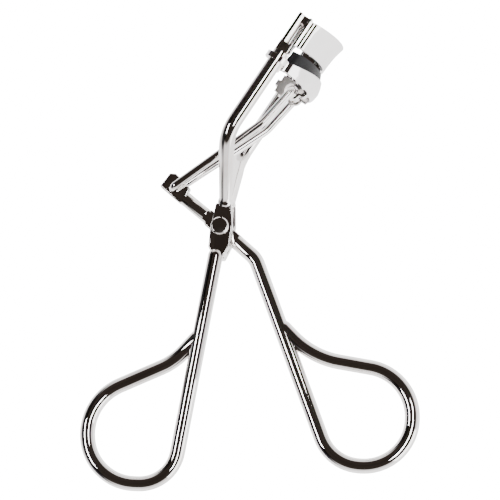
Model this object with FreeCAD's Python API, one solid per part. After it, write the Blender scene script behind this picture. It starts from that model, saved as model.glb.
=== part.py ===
"""Eyelash curler lying on its side, with its jaws almost closed.

Millimetres. The origin is the centre of the upper rivet head's flat face. +Z is the rivet's
axis, +Y points along the tool towards the jaws, +X points to the moving handle's side.
"near" pieces are on the +Z side of the middle plane, "far" pieces on the -Z side.
Every piece is drawn about the middle plane first and moved to the origin when it is saved.
The jaws and what slides on the arms are drawn in a head frame of their own: X is the way
the jaws bulge, Y the way the lower jaw slides. It is the tool's frame turned by HEAD_TILT.
"""
import FreeCAD, Part
import math
import os

# Driving dimensions
MOUTH = 39.1               # from the pivot to the upper jaw's edge, along the head
JAW_HALF = 13.0            # half the jaws' chord, which sets how wide the tool is
HEAD_TILT = 33.0           # the head leans this far from +Y towards +X, degrees
WIRE = 3.2                 # handle and arm wire, diameter

PLATE = 2.0                # each flattened plate at the pivot
PLATE_GAP = 0.1            # running gap between neighbouring plates
PLATE_EDGE = 0.35          # rounding of the edges of plates and paddle
RIVET_SHANK = 2.0          # diameter
RIVET_FIT = 0.05           # running clearance on the shank, radial
RIVET_HEAD = 3.8           # diameter
RIVET_HEAD_HEIGHT = 0.7
FRAME_ROOM = 1.625 * WIRE  # the wires stay out of the middle plate's way this near the rivet
LEVER_ROOM = 1.375 * WIRE  # the lever stays as thin as its plate this near the rivet

ARM_GAP = 0.4              # between an arm and the plane of the jaws' ends
ARM_BASE = 2.6             # arm wire where it leaves its plate, diameter
ARM_OFFSET = -7.6          # arm axis in the head frame, X
ARM_BAR = 1.8              # thickness of the arm's flattened part
ARM_FLAT_FROM = 2.9        # where that part starts, below the mouth
ARM_SHOULDER = 15.9        # where the arms turn parallel, head frame Y
SHOULDER_BEND = 7.0
TONGUE = 1.2               # reduced arm end inside the channel, diameter
TONGUE_SEAT = 0.2          # how deep its flat is filed
TONGUE_REACH = 4.7         # above the mouth

STUB = 3.0                 # the lever's short end, diameter
PADDLE_THICKNESS = 2.2
LINK_WIRE = 1.7            # fork wire, diameter
LINK_HOLE = (-10.1, 8.4)   # hole in the paddle
LINK_FIT = 0.06            # running clearance in the paddle's hole, radial
LINK_CLEARANCE = 0.32      # play of the fork's ends in the lugs, radial
LINK_BEND = (5.88, 6.77)   # the rods bend this far short of the lugs
LINK_BESIDE = 0.45         # between the rods and the paddle or the lugs
LUG_OFFSET = -3.05         # lug axis in the head frame, X
LUG_DROP = 6.9             # lug axis below the mouth
LUG_WALL = 0.58            # metal round the lug's hole
LUG_INNER = 2.4            # from the middle plane
LUG_WIDTH = 1.3

UPPER_END, LOWER_END = -5.7, -6.1      # where each jaw's curve starts, head frame X
UPPER_CORNER, LOWER_CORNER = 1.6, 3.0  # small radius at both ends of that curve
JAW_TILT = 11.0            # the jaws' edges rise towards the middle, degrees
JAW_SHEET = 0.8
UPPER_HEIGHT = 6.3
UPPER_BULGES = (5.1, 5.2, 5.45, 6.0)   # evenly spaced from its edge to its top: it flares
LOWER_BOWL = ((-13.0, 4.6), (-7.6, 6.75), (-6.4, 7.25), (-5.2, 7.4), (-4.0, 7.15),
              (-2.8, 6.7), (-1.0, 5.9), (2.0, 4.6))     # height from the mouth, bulge
PAD_GAP = 1.0              # open gap between pad and upper jaw
PAD_WIDTH = 1.3
GROOVE_WALL = 0.35
GROOVE_DROP = 4.4          # the groove's floor below the mouth
WALL_END_DROP, WALL_MIDDLE_DROP = 3.8, 2.8       # upper edge of the groove's outer wall
APRON_END_DROP, APRON_MIDDLE_DROP = 5.8, 7.1     # lower edge of the lower jaw

CHANNEL_WALL = 0.5
CHANNEL_EDGE = 0.75        # the short flange is folded double
CHANNEL_SHEET = 0.6
CHANNEL_LEFT_OF_ARM, CHANNEL_RIGHT_OF_ARM = 1.5, 1.6
CHANNEL_FLANGE = 1.3
CHANNEL_REACH = 6.5        # its top above the mouth
CHANNEL_DROP = 0.6         # its bottom below the mouth
STRIP_DROP = 2.5           # the longer flange's bottom below the mouth

GUIDE_FIT = 0.06           # running clearance on the arm, radial
GUIDE_WALL = 0.8
WEB_LOW, WEB_HIGH = 6.6, 2.5           # web on the lower jaw's end, below the mouth
COLLAR_LOW, COLLAR_HIGH = 5.2, 3.9     # collar round the arm, below the mouth

# What follows from them
R = WIRE / 2
PLATE_Z = PLATE / 2 + PLATE_GAP          # inner face of the near and far plates
PLATE_MID = PLATE_Z + PLATE / 2
FACE_Z = PLATE_Z + PLATE + RIVET_HEAD_HEIGHT
ARM_HALF_SPAN = JAW_HALF + ARM_GAP + R   # arm axis from the middle plane
ARM_ROUND_TOP = MOUTH - ARM_FLAT_FROM
LUG_AT = (LUG_OFFSET, MOUTH - LUG_DROP)
LUG_RADIUS = LINK_WIRE / 2 + LINK_CLEARANCE + LUG_WALL
LUG_OUTER = LUG_INNER + LUG_WIDTH
FORK_HALF_AT_PADDLE = (PADDLE_THICKNESS + LINK_WIRE) / 2 + LINK_BESIDE
FORK_HALF_AT_LUGS = LUG_OUTER + LINK_BESIDE + LINK_WIRE / 2
UPPER_TOP = MOUTH + UPPER_HEIGHT
PAD_TOP = MOUTH - PAD_GAP
GROOVE_FLOOR = MOUTH - GROOVE_DROP
WALL_END, WALL_MIDDLE = MOUTH - WALL_END_DROP, MOUTH - WALL_MIDDLE_DROP
APRON_END, APRON_MIDDLE = MOUTH - APRON_END_DROP, MOUTH - APRON_MIDDLE_DROP
CHANNEL_LEFT = ARM_OFFSET - CHANNEL_LEFT_OF_ARM
CHANNEL_RIGHT = ARM_OFFSET + CHANNEL_RIGHT_OF_ARM
CHANNEL_BOTTOM, CHANNEL_TOP = MOUTH - CHANNEL_DROP, MOUTH + CHANNEL_REACH
CHANNEL_OUT = JAW_HALF + CHANNEL_SHEET   # the channel's floor, seen from outside


def vec(x, y, z=0.0):
    return FreeCAD.Vector(x, y, z)


def to_tool(x, y, z=0.0):
    """A head-frame point in the tool's frame."""
    a = math.radians(HEAD_TILT)
    return vec(x * math.cos(a) + y * math.sin(a), -x * math.sin(a) + y * math.cos(a), z)


def tilt(shape):
    turned = shape.copy()
    turned.rotate(vec(0, 0), vec(0, 0, 1), -HEAD_TILT)
    return turned


def mirror_z(shape):
    return shape.mirror(vec(0, 0), vec(0, 0, 1))


def fused(*shapes):
    if len(shapes) == 1:
        return shapes[0]
    return shapes[0].fuse(list(shapes[1:])).removeSplitter()


def bend_reach(before, corner, after, radius):
    """Half the angle at a corner, and how far from it the bend's arc begins."""
    half = (before - corner).getAngle(after - corner) / 2
    return half, radius / math.tan(half)


def rounded_path(corners, radii):
    """Straight runs joined by tangent arcs. radii holds one value per inner corner."""
    edges = []
    start = corners[0]
    for i in range(1, len(corners) - 1):
        corner, radius = corners[i], radii[i - 1]
        back = (corners[i - 1] - corner).normalize()
        ahead = (corners[i + 1] - corner).normalize()
        half, reach = bend_reach(corners[i - 1], corner, corners[i + 1], radius)
        first, last = corner + back * reach, corner + ahead * reach
        middle_dir = (back + ahead).normalize()
        middle = corner + middle_dir * (radius / math.sin(half) - radius)
        if (first - start).Length > 1e-4:
            edges.append(Part.LineSegment(start, first).toShape())
        edges.append(Part.Arc(first, middle, last).toShape())
        start = last
    edges.append(Part.LineSegment(start, corners[-1]).toShape())
    return Part.Wire(edges)


def bent_wire(corners, radii, diameter):
    path = rounded_path(corners, radii)
    direction = (corners[1] - corners[0]).normalize()
    ring = Part.Circle(corners[0], direction, diameter / 2)
    profile = Part.Wire([ring.toShape()])
    return path.makePipeShell([profile], True, False)


def ringed_wire(corners, radii, diameter):
    """A wire bent back to its own shank. It is drawn as two runs that meet on the ring's
    third side, so that the ring's end and the shank it is welded to become one solid."""
    side = (corners[3] - corners[2]).normalize()
    first = corners[2] + side * bend_reach(*corners[1:4], radii[1])[1]
    last = corners[3] - side * bend_reach(*corners[2:5], radii[2])[1]
    split = (first + last) * 0.5
    end = bent_wire([split] + corners[2::-1], radii[1::-1], diameter)
    shank = bent_wire([split] + corners[3:], radii[2:], diameter)
    return fused(end, shank, ball(corners[0], diameter))


def rod(start, end, diameter):
    axis = end - start
    return Part.makeCylinder(diameter / 2, axis.Length, start, axis)


def ball(centre, diameter):
    return Part.makeSphere(diameter / 2, centre)


def blank(outline, low, high):
    points = [vec(x, y, low) for x, y in outline]
    face = Part.Face(Part.makePolygon(points + points[:1]))
    return face.extrude(vec(0, 0, high - low))


def plate(outline, low, high):
    """A blank with all its edges rounded."""
    flat = blank(outline, low, high)
    return flat.makeFillet(PLATE_EDGE, flat.Edges)


def box(x0, x1, y0, y1, z0, z1):
    return Part.makeBox(x1 - x0, y1 - y0, z1 - z0, vec(x0, y0, z0))


# Rings and handles

FRAME_RING = [(-4.6, -23.4), (-9.4, -28.4), (-28.1, -36.6), (-26.4, -53.7), (-9.6, -54.2)]
FRAME_RING_BENDS = [14.0, 11.0, 10.2, 8.0]
FRAME_PLATE = [(-0.9, 4.9), (2.4, 4.9), (2.7, 0.0), (2.1, -4.4), (0.8, -6.5), (-1.5, -6.2),
               (-2.4, -4.4), (-2.1, -0.8)]
FRAME_WIRE_TOP = (-0.89, -6.2)     # where the handle's wire runs into the plate
ARM_FOOT = (1.03, 5.2)             # where the near arm leaves it
FAR_ARM_FOOT = (1.3, 5.2)
LEVER_RING = [(13.6, -21.2), (19.5, -27.3), (40.6, -31.0), (40.3, -50.8), (23.6, -49.6)]
LEVER_RING_BENDS = [18.0, 10.5, 10.0, 9.0]
LEVER_ELBOW = (7.4, -6.5)
LEVER_ELBOW_BEND = 5.0
MIDDLE_PLATE = [(-2.1, 4.0), (-3.6, 0.8), (2.4, -4.2), (4.5, -1.9)]
PADDLE = [(-13.0, 8.9), (-10.9, 11.7), (-9.6, 11.6), (-6.5, 8.4), (-7.9, 5.3), (-8.8, 5.3)]


def near_arm(base):
    """From the plate out to the shoulder, then along the head to the channel's tongue."""
    shoulder = to_tool(ARM_OFFSET, ARM_SHOULDER, ARM_HALF_SPAN)
    end = to_tool(ARM_OFFSET, ARM_ROUND_TOP, ARM_HALF_SPAN)
    out = shoulder - base
    taper_end = base + out * 0.7
    taper = Part.makeCone(ARM_BASE / 2, R, out.Length * 0.7, base, out)
    arm = bent_wire([taper_end, shoulder, end], [SHOULDER_BEND], WIRE)
    left, right = CHANNEL_LEFT, CHANNEL_RIGHT - CHANNEL_WALL
    bar = box(left, right, ARM_ROUND_TOP, CHANNEL_BOTTOM, CHANNEL_OUT, CHANNEL_OUT + ARM_BAR)
    middle = (CHANNEL_LEFT + CHANNEL_EDGE + CHANNEL_RIGHT - CHANNEL_WALL) / 2
    axis = CHANNEL_OUT + TONGUE / 2 - TONGUE_SEAT
    tip = vec(middle, MOUTH + TONGUE_REACH - TONGUE / 2, axis)
    tongue = rod(vec(middle, CHANNEL_BOTTOM - 0.5, axis), tip, TONGUE)
    seat = box(left, right, ARM_ROUND_TOP, CHANNEL_TOP, JAW_HALF, CHANNEL_OUT)
    tongue = fused(tongue, ball(tip, TONGUE)).cut(seat)
    return fused(taper, arm, tilt(bar), tilt(tongue))


def build_frame_handle():
    ring = [vec(x, y, 0.0) for x, y in FRAME_RING]
    ring[0] = ring[0] + vec(0, 0, 1.0)
    top = vec(*FRAME_WIRE_TOP, PLATE_MID)
    handle = ringed_wire(ring + [top], FRAME_RING_BENDS, WIRE)
    flat = plate(FRAME_PLATE, PLATE_Z, PLATE_Z + PLATE)
    base = vec(*ARM_FOOT, PLATE_MID)
    body = fused(handle, ball(top, WIRE), near_arm(base), ball(base, WIRE))
    # nothing but the plate may reach into the middle plate's room
    body = body.cut(Part.makeCylinder(FRAME_ROOM, 2 * PLATE_Z, vec(0, 0, -PLATE_Z)))
    body = fused(body, flat)
    hole = Part.makeCylinder(RIVET_SHANK / 2, 10, vec(0, 0, -1))
    return body.cut(hole)


FAR_PLATE = [(-0.7, 5.0), (2.9, 5.0), (3.0, 0.6), (2.5, -3.2), (0.8, -6.6), (-0.5, -6.6),
             (-1.5, -3.2), (-1.9, 0.0)]
FAR_TAIL = [(-0.5, -6.6), (0.8, -6.6), (1.3, -5.3), (-0.5, -5.3)]


def build_far_arm(frame_handle):
    base = vec(*FAR_ARM_FOOT, PLATE_MID)
    arm = mirror_z(fused(near_arm(base), ball(base, WIRE)))
    arm = arm.cut(Part.makeCylinder(FRAME_ROOM, 2 * PLATE_Z, vec(0, 0, -PLATE_Z)))
    flat = plate(FAR_PLATE, -PLATE_Z - PLATE, -PLATE_Z)
    tail = blank(FAR_TAIL, -PLATE_Z - 0.5, PLATE_Z)
    hole = Part.makeCylinder(RIVET_SHANK / 2, 10, vec(0, 0, -9))
    whole = fused(arm, flat, tail).cut(hole)
    return whole.cut(frame_handle)


def build_lever():
    ring = [vec(x, y) for x, y in LEVER_RING]
    elbow = vec(*LEVER_ELBOW)
    along = vec(*LEVER_ELBOW).normalize()
    flat = plate(MIDDLE_PLATE, -PLATE / 2, PLATE / 2)
    handle = ringed_wire(ring + [elbow, along * 3.2],
                         LEVER_RING_BENDS + [LEVER_ELBOW_BEND], WIRE)
    stub = rod(along * -2.4, vec(*LINK_HOLE) * 0.76, STUB)
    paddle = plate(PADDLE, -PADDLE_THICKNESS / 2, PADDLE_THICKNESS / 2)
    room = Part.makeCylinder(LEVER_ROOM, 10, vec(0, 0, PLATE / 2))
    body = fused(handle, stub).cut(room).cut(mirror_z(room))
    body = fused(body, flat, paddle)
    rivet_hole = Part.makeCylinder(RIVET_SHANK / 2 + RIVET_FIT, 10, vec(0, 0, -5))
    link_hole = Part.makeCylinder(LINK_WIRE / 2 + LINK_FIT, 10, vec(*LINK_HOLE, -5))
    return body.cut(fused(rivet_hole, link_hole))


def build_rivet():
    low = PLATE_Z + PLATE
    shank = Part.makeCylinder(RIVET_SHANK / 2, 2 * low, vec(0, 0, -low))
    head = Part.makeCylinder(RIVET_HEAD / 2, RIVET_HEAD_HEIGHT, vec(0, 0, low))
    rim = [e for e in head.Edges if abs(e.BoundBox.ZMin - FACE_Z) < 1e-6
           and abs(e.BoundBox.ZMax - FACE_Z) < 1e-6]
    head = head.makeChamfer(0.3, rim)
    return fused(shank, head, mirror_z(head))


def build_link_fork():
    """One U of wire: across the paddle's hole, up both rods, ends turned in at the lugs."""
    lug = to_tool(*LUG_AT)
    bend = lug - vec(*LINK_BEND)
    half = []
    half.append(vec(*LINK_HOLE, FORK_HALF_AT_PADDLE))
    half.append(vec(bend.x, bend.y, FORK_HALF_AT_LUGS - 0.3))
    half.append(vec(lug.x, lug.y, FORK_HALF_AT_LUGS))
    half.append(vec(lug.x, lug.y, LUG_INNER - 0.5))
    other = [vec(p.x, p.y, -p.z) for p in half]
    corners = list(reversed(half)) + other
    radii = [1.0, 8.0, 1.0, 1.0, 8.0, 1.0]
    return bent_wire(corners, radii, LINK_WIRE)


# Jaws

def jaw_curve(start, radius, height, bulge, inset):
    """Corner, long and corner arc of a jaw's curve, from the near end to the far end."""
    tilted = math.radians(JAW_TILT)
    outward = vec(math.cos(tilted), math.sin(tilted))
    across = JAW_HALF - radius
    large = (bulge ** 2 + across ** 2 - radius ** 2) / (2 * (bulge - radius))
    depth = large - bulge
    turn = math.atan2(across, depth)
    corner, large = radius - inset, large - inset

    def at(z, out):
        return vec(start, height) + outward * out + vec(0, 0, z)

    def on_corner(angle):
        return across + corner * math.sin(angle), corner * math.cos(angle)

    end = at(JAW_HALF - inset, 0)
    middle = at(*on_corner((turn + math.pi / 2) / 2))
    join = at(*on_corner(turn))
    top = at(0, large - depth)
    far = [vec(p.x, p.y, -p.z) for p in (join, middle, end)]
    return [Part.Arc(end, middle, join), Part.Arc(join, top, far[0]),
            Part.Arc(far[0], far[1], far[2])]


def jaw_band(start, radius, profile, inset_out, inset_in, ruled=True):
    """Sheet between two offsets of the jaw's curve. profile holds heights and bulges."""
    levels = []
    for height, bulge in profile:
        outer = [arc.toShape() for arc in jaw_curve(start, radius, height, bulge, inset_out)]
        inner = [arc.toShape() for arc in jaw_curve(start, radius, height, bulge, inset_in)]
        ends = []
        for side in (0, -1):
            ends.append(Part.makeLine(outer[side].Vertexes[side].Point,
                                      inner[side].Vertexes[side].Point))
        edges = Part.sortEdges(outer + inner + ends)[0]
        levels.append(Part.Wire(edges))
    return Part.makeLoft(levels, True, ruled)


def crown(end_height, middle_height):
    """Everything inside a drum whose edge bows from the ends to the middle."""
    rise = middle_height - end_height
    radius = (JAW_HALF ** 2 + rise ** 2) / (2 * abs(rise))
    centre = middle_height - math.copysign(radius, rise)
    drum = Part.makeCylinder(radius, 60, vec(LOWER_END - 30, centre, 0), vec(1, 0, 0))
    drum.rotate(vec(LOWER_END, end_height), vec(0, 0, 1), JAW_TILT)
    return drum


def build_upper_jaw():
    step = UPPER_HEIGHT / (len(UPPER_BULGES) - 1)
    profile = [(MOUTH + i * step, bulge) for i, bulge in enumerate(UPPER_BULGES)]
    band = jaw_band(UPPER_END, UPPER_CORNER, profile, 0.0, JAW_SHEET, ruled=False)
    left = CHANNEL_LEFT + CHANNEL_SHEET
    tab = box(left, UPPER_END, MOUTH, UPPER_TOP, JAW_HALF - JAW_SHEET, JAW_HALF)
    return fused(band, tab, mirror_z(tab))


def slab(bottom, top):
    """The layer between two heights at the jaw's ends, tilted as the jaws are."""
    drop = math.cos(math.radians(JAW_TILT))
    layer = box(LOWER_END - 20, LOWER_END + 30, bottom, bottom + (top - bottom) * drop, -30, 30)
    layer.rotate(vec(LOWER_END, bottom), vec(0, 0, 1), JAW_TILT)
    return layer


def lower_band(bottom, top, inset_out, inset_in):
    """A layer of the lower jaw's bowl. Every layer is cut from the same rings."""
    bowl = [(MOUTH + height, bulge) for height, bulge in LOWER_BOWL]
    rings = [jaw_band(LOWER_END, LOWER_CORNER, pair, inset_out, inset_in)
             for pair in zip(bowl, bowl[1:]) if pair[1][0] > bottom and pair[0][0] < top]
    cut = [ring.common(slab(bottom, top)) for ring in rings]
    return fused(*cut)


def build_lower_jaw():
    """An apron with a groove along its top edge for the pad's foot."""
    low, pad_back = APRON_MIDDLE - 0.2, GROOVE_WALL + PAD_WIDTH
    wall = lower_band(low, WALL_MIDDLE + 0.2, 0.0, GROOVE_WALL)
    wall = wall.common(crown(WALL_END, WALL_MIDDLE))
    apron = lower_band(low, GROOVE_FLOOR, GROOVE_WALL, JAW_SHEET)
    shelf = lower_band(GROOVE_FLOOR - 0.4, WALL_END, GROOVE_WALL, pad_back + GROOVE_WALL)
    groove = lower_band(GROOVE_FLOOR, PAD_TOP, GROOVE_WALL, pad_back)
    return fused(wall, apron, shelf).cut(groove).common(crown(APRON_END, APRON_MIDDLE))


def build_pad():
    return lower_band(GROOVE_FLOOR, PAD_TOP, GROOVE_WALL, GROOVE_WALL + PAD_WIDTH)


def build_channel():
    """Fixed to the upper jaw's end: a floor with two flanges, the right one longer."""
    low, high = JAW_HALF, CHANNEL_OUT
    top = high + CHANNEL_FLANGE
    wall = CHANNEL_WALL
    floor = box(CHANNEL_LEFT, CHANNEL_RIGHT, CHANNEL_BOTTOM, CHANNEL_TOP, low, high)
    left = box(CHANNEL_LEFT, CHANNEL_LEFT + CHANNEL_EDGE, CHANNEL_BOTTOM, CHANNEL_TOP, low, top)
    right = box(CHANNEL_RIGHT - wall, CHANNEL_RIGHT, MOUTH - STRIP_DROP, CHANNEL_TOP, high, top)
    return fused(floor, left, right)


def build_guide():
    """Fixed to the lower jaw's end: a web with an open collar that runs on the arm."""
    inner, face = JAW_HALF - 0.5, JAW_HALF + 0.1
    reach = R + GUIDE_FIT + GUIDE_WALL
    left, right = ARM_OFFSET - reach, CHANNEL_RIGHT - 0.3
    web = box(CHANNEL_LEFT - 0.2, LOWER_END, MOUTH - WEB_LOW, MOUTH - WEB_HIGH, inner, face)
    low, high = MOUTH - COLLAR_LOW, MOUTH - COLLAR_HIGH
    collar = Part.makeCylinder(reach, high - low, vec(ARM_OFFSET, low, ARM_HALF_SPAN),
                               vec(0, 1, 0))
    cheek = box(left, right, low, high, JAW_HALF + 0.02, ARM_HALF_SPAN)
    bore = Part.makeCylinder(R + GUIDE_FIT, 20, vec(ARM_OFFSET, low - 10, ARM_HALF_SPAN),
                             vec(0, 1, 0))
    return fused(web, collar, cheek).cut(bore)


def build_lug(lower_jaw):
    x, y = LUG_AT
    width = LUG_OUTER - LUG_INNER
    eye = Part.makeCylinder(LUG_RADIUS, width, vec(x, y, LUG_INNER))
    foot = box(x, x + LUG_RADIUS + 3.0, y, y + LUG_RADIUS, LUG_INNER, LUG_OUTER)
    hole = Part.makeCylinder(LINK_WIRE / 2 + LINK_CLEARANCE, 20, vec(x, y, -10))
    outside = lower_band(APRON_END - 5, PAD_TOP, -6.0, GROOVE_WALL)
    return fused(eye, foot).cut(hole).cut(lower_jaw).cut(outside)


def save(shape, name):
    placed = shape.copy()
    placed.translate(vec(0, 0, -FACE_Z))
    placed.exportStep("parts/" + name + ".step")


def main():
    os.makedirs("parts", exist_ok=True)
    frame_handle = build_frame_handle()
    lower_jaw = build_lower_jaw()
    channel, guide, lug = build_channel(), build_guide(), build_lug(lower_jaw)
    save(frame_handle, "frame_handle")
    save(build_far_arm(frame_handle), "far_arm")
    save(build_lever(), "lever_handle")
    save(build_rivet(), "pivot_rivet")
    save(build_link_fork(), "link_fork")
    save(tilt(build_upper_jaw()), "upper_jaw")
    save(tilt(lower_jaw), "lower_jaw")
    save(tilt(build_pad()), "lash_pad")
    for shape, name in ((channel, "side_channel"), (guide, "jaw_guide"), (lug, "link_lug")):
        save(tilt(shape), name + "_near")
        save(tilt(mirror_z(shape)), name + "_far")


main()
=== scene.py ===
"""Looks of the chromed eyelash curler, lying on its side on a pale studio floor."""
import math

import bmesh
import bpy
from mathutils import Matrix, Vector


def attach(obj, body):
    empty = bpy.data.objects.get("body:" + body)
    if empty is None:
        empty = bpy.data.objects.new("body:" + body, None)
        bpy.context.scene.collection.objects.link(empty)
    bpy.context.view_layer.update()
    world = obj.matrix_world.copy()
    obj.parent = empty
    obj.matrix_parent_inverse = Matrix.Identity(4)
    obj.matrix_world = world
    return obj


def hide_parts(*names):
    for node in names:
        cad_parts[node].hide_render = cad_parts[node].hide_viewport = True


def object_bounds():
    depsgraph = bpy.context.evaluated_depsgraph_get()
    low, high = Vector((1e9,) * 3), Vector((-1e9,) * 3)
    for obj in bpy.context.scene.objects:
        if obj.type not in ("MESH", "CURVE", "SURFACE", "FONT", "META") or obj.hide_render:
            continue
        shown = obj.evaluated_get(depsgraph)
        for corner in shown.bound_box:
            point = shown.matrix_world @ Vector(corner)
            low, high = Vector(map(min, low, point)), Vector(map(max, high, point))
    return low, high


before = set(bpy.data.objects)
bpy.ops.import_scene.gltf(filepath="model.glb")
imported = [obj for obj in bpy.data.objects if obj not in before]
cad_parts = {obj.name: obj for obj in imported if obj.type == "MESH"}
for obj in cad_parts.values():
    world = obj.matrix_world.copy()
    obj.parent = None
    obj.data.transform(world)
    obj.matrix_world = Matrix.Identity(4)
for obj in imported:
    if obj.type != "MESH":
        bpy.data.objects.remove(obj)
CAD_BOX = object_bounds()
MM = 0.001

# Pieces
WELD = 0.002 * MM                     # vertices of a CAD piece nearer than this are one
FLAT_ANGLE = math.radians(1.0)        # faces that meet at less are one flat face
SMOOTH_ANGLE = math.radians(35.0)     # edges sharper than this stay sharp
BEVEL_ANGLE = math.radians(38.0)      # and these are eased
BEVEL_SEGMENTS = 3

# Plating: noise scales per metre, colours and bump heights in mm
LINE_SCALE = 900.0
LINE_STRETCH = 0.16                   # the buffing lines are drawn out along Y
LINE_HEIGHT = 0.18                    # against the ripple's height
RIPPLE_SCALE = 180.0
HAZE_SCALE = 70.0
WEAR_SCALE = 420.0
WEAR_SHARPNESS, WEAR_START = 6.0, -3.1
WORN_CHROME = (0.90, 0.88, 0.85, 1)
HEAD_TURN = math.radians(-33.0)       # the head leans this much from the handles' axis
POLISHED_BUMP, SATIN_BUMP, RIVET_BUMP = 0.012, 0.02, 0.04

# Rubber, in the same units
GRAIN_SCALE, GRAIN_HEIGHT = 2600.0, 0.01
DUST_SCALE = 260.0
RUBBER_ROUGHNESS = (0.34, 0.55)
RUBBER_SHEEN = 0.14
RUBBER_BLACK, RUBBER_DUST = (0.003, 0.0028, 0.0034, 1), (0.012, 0.011, 0.014, 1)

# Studio, metres. The plating mirrors weak glows; the camera sees plain white.
SEEN_WHITE = 17.0
FLOOR_HALF = 3.0
FLOOR_GREY, FLOOR_ROUGHNESS = (0.9, 0.9, 0.9, 1), 0.9
FLOOR_GLOW, FLOOR_FADE = 2.0, (-0.13, -0.06)      # the glow ends between these X
SKY_GLOW, SKY_FADE = 2.1, (-0.72, -0.40)          # and the walls' between these X of direction
DARK_SIDE = 0.05                                  # what is left of a glow past its end
SKY_STOPS = ((0.0, (1.0, 0.985, 0.985)), (0.36, (0.86, 0.84, 0.84)),
             (0.47, (0.30, 0.28, 0.27)), (0.53, (0.026, 0.021, 0.018)),
             (1.0, (0.017, 0.013, 0.011)))        # from the horizon to overhead
LAMP_AIM = (0.004, -0.006, -3.8 * MM)
SOFTBOXES = (                                     # name, place, size, power
    ("left_strip", (-0.46, -0.06, 0.53), (0.12, 0.38), 2.3),
    ("top_strip", (0.215, -0.075, 0.665), (0.10, 0.38), 1.9),
    ("right_wall", (0.75, -0.45, 0.12), (0.7, 0.7), 6.0),
)

# Camera: place in metres, lens and sensor in mm
CAMERA_AT = (0.06286, -0.11954, 0.68309)
CAMERA_RIGHT = (0.99671, 0.01338, -0.08000)
CAMERA_UP = (0.0, 0.98629, 0.16500)
CAMERA_BACK = (0.08111, -0.16446, 0.98304)
LENS, SENSOR_WIDTH, NEAR_CLIP = 239.4, 36.0, 0.05


# Node helpers

def node(tree, kind, place=(0, 0), **settings):
    made = tree.nodes.new(kind)
    made.location = place
    for key, value in settings.items():
        setattr(made, key, value)
    return made


def link(tree, source, target):
    tree.links.new(source, target)


def new_group(name, inputs, outputs):
    tree = bpy.data.node_groups.new(name, "ShaderNodeTree")
    for label, kind, value in inputs:
        socket = tree.interface.new_socket(label, in_out="INPUT", socket_type=kind)
        if value is not None:
            socket.default_value = value
    for label, kind in outputs:
        tree.interface.new_socket(label, in_out="OUTPUT", socket_type=kind)
    return tree, node(tree, "NodeGroupInput", (-900, 0)), node(tree, "NodeGroupOutput", (900, 0))


def ramp(tree, place, stops):
    """A colour ramp. Each stop is a position and its colour."""
    made = node(tree, "ShaderNodeValToRGB", place)
    while len(made.color_ramp.elements) < len(stops):
        made.color_ramp.elements.new(0.5)
    for element, (at, colour) in zip(made.color_ramp.elements, stops):
        element.position = at
        element.color = (*colour, 1)
    return made


def threshold(tree, place, low, high):
    """A ramp from black at one value to white at another."""
    return ramp(tree, place, ((low, (0, 0, 0)), (high, (1, 1, 1))))


def noise(tree, place, detail, vector, scale=None):
    made = node(tree, "ShaderNodeTexNoise", place)
    made.inputs["Detail"].default_value = detail
    link(tree, vector, made.inputs["Vector"])
    if scale is not None:
        made.inputs["Scale"].default_value = scale
    return made


def fade(tree, place, value, ends, low, high):
    """A soft step from one strength to another, between two values of an input."""
    made = node(tree, "ShaderNodeMapRange", place, interpolation_type="SMOOTHSTEP")
    for label, level in zip(("From Min", "From Max", "To Min", "To Max"), (*ends, low, high)):
        made.inputs[label].default_value = level
    link(tree, value, made.inputs["Value"])
    return made.outputs["Result"]


def polish_group():
    """Buffing lines, orange-peel ripple in the plating and faint handling haze."""
    tree, head, tail = new_group(
        "polished_plating",
        [("Vector", "NodeSocketVector", None),
         ("Ripple Scale", "NodeSocketFloat", RIPPLE_SCALE),
         ("Roughness Low", "NodeSocketFloat", 0.03), ("Roughness High", "NodeSocketFloat", 0.12)],
        [("Roughness", "NodeSocketFloat"), ("Height", "NodeSocketFloat"),
         ("Haze", "NodeSocketFloat")])
    stretch = node(tree, "ShaderNodeVectorMath", (-700, 200), operation="MULTIPLY")
    stretch.inputs[1].default_value = (1.0, LINE_STRETCH, 1.0)
    link(tree, head.outputs["Vector"], stretch.inputs[0])
    lines = noise(tree, (-500, 200), 5.0, stretch.outputs[0], LINE_SCALE)
    lines.inputs["Roughness"].default_value = 0.6
    ripple = noise(tree, (-500, -100), 2.0, head.outputs["Vector"])
    link(tree, head.outputs["Ripple Scale"], ripple.inputs["Scale"])
    haze = noise(tree, (-500, -400), 6.0, head.outputs["Vector"], HAZE_SCALE)
    patches = threshold(tree, (-300, -400), 0.48, 0.72)
    link(tree, haze.outputs["Fac"], patches.inputs["Fac"])
    spread = node(tree, "ShaderNodeMapRange", (-50, -250))
    link(tree, head.outputs["Roughness Low"], spread.inputs["To Min"])
    link(tree, head.outputs["Roughness High"], spread.inputs["To Max"])
    mixed = node(tree, "ShaderNodeMath", (-150, 0), operation="MULTIPLY")
    link(tree, lines.outputs["Fac"], mixed.inputs[0])
    link(tree, patches.outputs["Color"], mixed.inputs[1])
    link(tree, mixed.outputs[0], spread.inputs["Value"])
    height = node(tree, "ShaderNodeMath", (0, 150), operation="MULTIPLY_ADD")
    height.inputs[1].default_value = LINE_HEIGHT
    link(tree, lines.outputs["Fac"], height.inputs[0])
    link(tree, ripple.outputs["Fac"], height.inputs[2])
    link(tree, spread.outputs["Result"], tail.inputs["Roughness"])
    link(tree, height.outputs[0], tail.inputs["Height"])
    link(tree, patches.outputs["Color"], tail.inputs["Haze"])
    return tree


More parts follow.
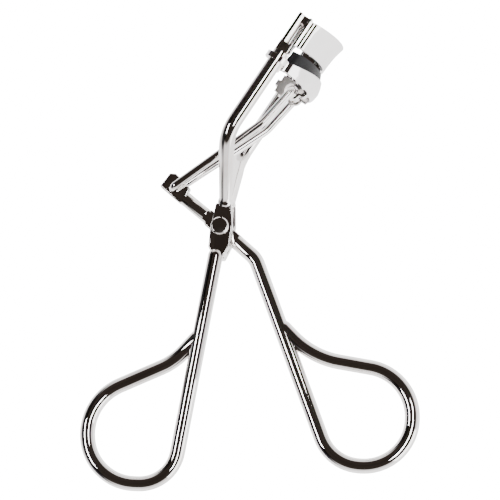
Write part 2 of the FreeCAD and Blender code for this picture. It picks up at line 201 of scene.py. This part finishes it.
def wear_group():
    """A mask of rubbed edges, broken up so that it isn't an even line."""
    tree, head, tail = new_group(
        "rubbed_edges",
        [("Vector", "NodeSocketVector", None)],
        [("Mask", "NodeSocketFloat")])
    shape = node(tree, "ShaderNodeNewGeometry", (-700, 100))
    scaled = node(tree, "ShaderNodeMath", (-500, 100), operation="MULTIPLY_ADD")
    scaled.inputs[1].default_value = WEAR_SHARPNESS
    scaled.inputs[2].default_value = WEAR_START
    link(tree, shape.outputs["Pointiness"], scaled.inputs[0])
    breaks = noise(tree, (-500, -150), 4.0, head.outputs["Vector"], WEAR_SCALE)
    mask = node(tree, "ShaderNodeMath", (-250, 0), operation="MULTIPLY", use_clamp=True)
    link(tree, scaled.outputs[0], mask.inputs[0])
    link(tree, breaks.outputs["Fac"], mask.inputs[1])
    link(tree, mask.outputs[0], tail.inputs["Mask"])
    return tree


POLISH = polish_group()
WEAR = wear_group()


def new_material(name):
    made = bpy.data.materials.new(name)
    made.use_nodes = True
    tree = made.node_tree
    shader = tree.nodes["Principled BSDF"]
    place = node(tree, "ShaderNodeTexCoord", (-1200, 0))
    return made, tree, shader, place.outputs["Object"]


def chrome(name, bright, shadow, rough=(0.02, 0.11), ripple=RIPPLE_SCALE, bump=POLISHED_BUMP,
           turn=0.0):
    """Polished plating. Haze shifts both colour and roughness, and rubbed edges are paler."""
    made, tree, shader, where = new_material(name)
    place = node(tree, "ShaderNodeMapping", (-1000, 0))
    place.inputs["Rotation"].default_value = (0, 0, turn)
    link(tree, where, place.inputs["Vector"])
    polish = node(tree, "ShaderNodeGroup", (-750, 100), node_tree=POLISH)
    polish.inputs["Ripple Scale"].default_value = ripple
    polish.inputs["Roughness Low"].default_value = rough[0]
    polish.inputs["Roughness High"].default_value = rough[1]
    link(tree, place.outputs["Vector"], polish.inputs["Vector"])
    wear = node(tree, "ShaderNodeGroup", (-750, -250), node_tree=WEAR)
    link(tree, place.outputs["Vector"], wear.inputs["Vector"])
    tint = node(tree, "ShaderNodeMix", (-450, 250), data_type="RGBA")
    tint.inputs["A"].default_value = (*bright, 1)
    tint.inputs["B"].default_value = (*shadow, 1)
    link(tree, polish.outputs["Haze"], tint.inputs["Factor"])
    edge = node(tree, "ShaderNodeMix", (-250, 250), data_type="RGBA")
    edge.inputs["B"].default_value = WORN_CHROME
    link(tree, wear.outputs["Mask"], edge.inputs["Factor"])
    link(tree, tint.outputs["Result"], edge.inputs["A"])
    link(tree, edge.outputs["Result"], shader.inputs["Base Color"])
    link(tree, polish.outputs["Roughness"], shader.inputs["Roughness"])
    dent = node(tree, "ShaderNodeBump", (-300, -200))
    dent.inputs["Distance"].default_value = bump * MM
    link(tree, polish.outputs["Height"], dent.inputs["Height"])
    link(tree, dent.outputs["Normal"], shader.inputs["Normal"])
    shader.inputs["Metallic"].default_value = 1.0
    return made


def rubber(name):
    """Moulded black rubber: fine grain, paler dust in it and a soft sheen."""
    made, tree, shader, where = new_material(name)
    grain = noise(tree, (-800, 100), 3.0, where, GRAIN_SCALE)
    dust = noise(tree, (-800, -200), 6.0, where, DUST_SCALE)
    patches = threshold(tree, (-600, -200), 0.45, 0.8)
    link(tree, dust.outputs["Fac"], patches.inputs["Fac"])
    tint = node(tree, "ShaderNodeMix", (-350, 200), data_type="RGBA")
    tint.inputs["A"].default_value = RUBBER_BLACK
    tint.inputs["B"].default_value = RUBBER_DUST
    link(tree, patches.outputs["Color"], tint.inputs["Factor"])
    link(tree, tint.outputs["Result"], shader.inputs["Base Color"])
    spread = node(tree, "ShaderNodeMapRange", (-350, -50))
    spread.inputs["To Min"].default_value, spread.inputs["To Max"].default_value = RUBBER_ROUGHNESS
    link(tree, grain.outputs["Fac"], spread.inputs["Value"])
    link(tree, spread.outputs["Result"], shader.inputs["Roughness"])
    dent = node(tree, "ShaderNodeBump", (-350, -300))
    dent.inputs["Distance"].default_value = GRAIN_HEIGHT * MM
    link(tree, grain.outputs["Fac"], dent.inputs["Height"])
    link(tree, dent.outputs["Normal"], shader.inputs["Normal"])
    shader.inputs["Specular IOR Level"].default_value = RUBBER_SHEEN
    return made


WIRE = chrome("chromed_wire", (0.80, 0.775, 0.76), (0.60, 0.56, 0.54))
SHEET = chrome("chromed_sheet", (0.84, 0.82, 0.815), (0.66, 0.63, 0.62), rough=(0.05, 0.2),
               turn=HEAD_TURN)
SATIN = chrome("satin_plating", (0.82, 0.80, 0.79), (0.66, 0.63, 0.62), rough=(0.34, 0.5),
               bump=SATIN_BUMP, turn=HEAD_TURN)
RIVET = chrome("chromed_rivet", (0.70, 0.67, 0.65), (0.44, 0.40, 0.38), rough=(0.08, 0.3),
               ripple=600.0, bump=RIVET_BUMP)
RUBBER = rubber("black_rubber")


# Pieces

def piece_from(shape, name, material):
    mesh = bpy.data.meshes.new(name)
    shape.to_mesh(mesh)
    shape.free()
    for face in mesh.polygons:
        face.use_smooth = True
    mesh.set_sharp_from_angle(angle=SMOOTH_ANGLE)
    mesh.materials.append(material)
    made = bpy.data.objects.new(name, mesh)
    bpy.context.scene.collection.objects.link(made)
    return made


def rounded(cad_node, name, material, width):
    """A copy of a CAD piece whose flat faces are whole and whose hard edges are eased."""
    shape = bmesh.new()
    shape.from_mesh(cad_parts[cad_node].data)
    bmesh.ops.remove_doubles(shape, verts=shape.verts[:], dist=WELD)
    bmesh.ops.dissolve_limit(shape, angle_limit=FLAT_ANGLE, verts=shape.verts[:],
                             edges=shape.edges[:])
    made = piece_from(shape, name, material)
    ease = made.modifiers.new("eased_edges", "BEVEL")
    ease.width = width * MM
    ease.segments = BEVEL_SEGMENTS
    ease.limit_method = "ANGLE"
    ease.angle_limit = BEVEL_ANGLE
    ease.harden_normals = True
    return made


# CAD node, piece, body, slot, material and width of the eased edges in mm
PIECES = (
    ("frame_handle", "frame_wire", "frame", "chrome_wire", WIRE, 0.22),
    ("far_arm", "far_arm_wire", "frame", "chrome_wire", WIRE, 0.22),
    ("lever_handle", "lever_wire", "lever", "chrome_wire", WIRE, 0.22),
    ("link_fork", "fork_wire", "link", "chrome_wire", WIRE, 0.12),
    ("pivot_rivet", "rivet_heads", "frame", "chrome_rivet", RIVET, 0.10),
    ("upper_jaw", "upper_jaw_sheet", "frame", "chrome_sheet", SHEET, 0.14),
    ("side_channel_near", "near_channel", "frame", "chrome_sheet", SHEET, 0.07),
    ("side_channel_far", "far_channel", "frame", "chrome_sheet", SHEET, 0.10),
    ("lower_jaw", "lower_jaw_sheet", "sliding_jaw", "chrome_sheet", SHEET, 0.08),
    ("lash_pad", "rubber_pad", "sliding_jaw", "black_rubber", RUBBER, 0.22),
    ("jaw_guide_near", "near_guide", "sliding_jaw", "chrome_sheet", SHEET, 0.12),
    ("jaw_guide_far", "far_guide", "sliding_jaw", "chrome_sheet", SATIN, 0.12),
    ("link_lug_near", "near_lug", "sliding_jaw", "chrome_sheet", SHEET, 0.10),
    ("link_lug_far", "far_lug", "sliding_jaw", "chrome_sheet", SHEET, 0.10),
)
for cad_node, name, body, slot, material, width in PIECES:
    piece = rounded(cad_node, name, material, width)
    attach(piece, body)
    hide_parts(cad_node)


# Studio

def seen_or_mirrored(tree, place, mirrored):
    """Plain white for the camera, and a given strength for what the plating mirrors."""
    path = node(tree, "ShaderNodeLightPath", place)
    choose = node(tree, "ShaderNodeMapRange", (place[0] + 200, place[1]))
    choose.inputs["To Max"].default_value = SEEN_WHITE
    link(tree, mirrored, choose.inputs["To Min"])
    link(tree, path.outputs["Is Camera Ray"], choose.inputs["Value"])
    return choose.outputs["Result"]


def studio():
    """A pale floor just under the tool. Its mirrored glow ends on the left."""
    made, tree, shader, where = new_material("pale_floor")
    shader.inputs["Base Color"].default_value = FLOOR_GREY
    shader.inputs["Roughness"].default_value = FLOOR_ROUGHNESS
    shader.inputs["Emission Color"].default_value = (1, 1, 1, 1)
    split = node(tree, "ShaderNodeSeparateXYZ", (-1000, -500))
    link(tree, where, split.inputs[0])
    glow = fade(tree, (-800, -500), split.outputs["X"], FLOOR_FADE, DARK_SIDE, FLOOR_GLOW)
    strength = seen_or_mirrored(tree, (-500, -300), glow)
    link(tree, strength, shader.inputs["Emission Strength"])
    shape = bmesh.new()
    bmesh.ops.create_grid(shape, x_segments=1, y_segments=1, size=FLOOR_HALF)
    bmesh.ops.translate(shape, verts=shape.verts[:], vec=(0, 0, CAD_BOX[0][2]))
    piece_from(shape, "pale_floor", made)


def softbox(name, at, size, power):
    """A rectangular lamp facing the tool, its height along Y."""
    light = bpy.data.lights.new(name, "AREA")
    light.shape = "RECTANGLE"
    light.size, light.size_y = size
    light.energy = power
    lamp = bpy.data.objects.new(name, light)
    facing = (Vector(at) - Vector(LAMP_AIM)).normalized()
    side = Vector((0, 1, 0)).cross(facing).normalized()
    place = Matrix((side, facing.cross(side), facing)).transposed().to_4x4()
    lamp.matrix_world = Matrix.Translation(at) @ place
    bpy.context.scene.collection.objects.link(lamp)


def sky():
    """White tent walls, open overhead and on the left, where the room is dark."""
    world = bpy.data.worlds.new("studio_sky")
    bpy.context.scene.world = world
    world.use_nodes = True
    tree = world.node_tree
    back = tree.nodes["Background"]
    place = node(tree, "ShaderNodeTexCoord", (-900, 0))
    split = node(tree, "ShaderNodeSeparateXYZ", (-700, 0))
    link(tree, place.outputs["Generated"], split.inputs[0])
    shades = ramp(tree, (-450, 0), SKY_STOPS)
    link(tree, split.outputs["Z"], shades.inputs["Fac"])
    glow = fade(tree, (-450, -300), split.outputs["X"], SKY_FADE, DARK_SIDE, SKY_GLOW)
    link(tree, shades.outputs["Color"], back.inputs["Color"])
    link(tree, seen_or_mirrored(tree, (-200, -300), glow), back.inputs["Strength"])


def camera():
    """Nearly along the rivet, from far off."""
    turn = Matrix((CAMERA_RIGHT, CAMERA_UP, CAMERA_BACK)).transposed().to_4x4()
    data = bpy.data.cameras.new("camera")
    data.lens = LENS
    data.sensor_width = SENSOR_WIDTH
    data.clip_start = NEAR_CLIP
    made = bpy.data.objects.new("camera", data)
    made.matrix_world = Matrix.Translation(CAMERA_AT) @ turn
    bpy.context.scene.collection.objects.link(made)
    bpy.context.scene.camera = made


studio()
sky()
for name, at, size, power in SOFTBOXES:
    softbox(name, at, size, power)
camera()
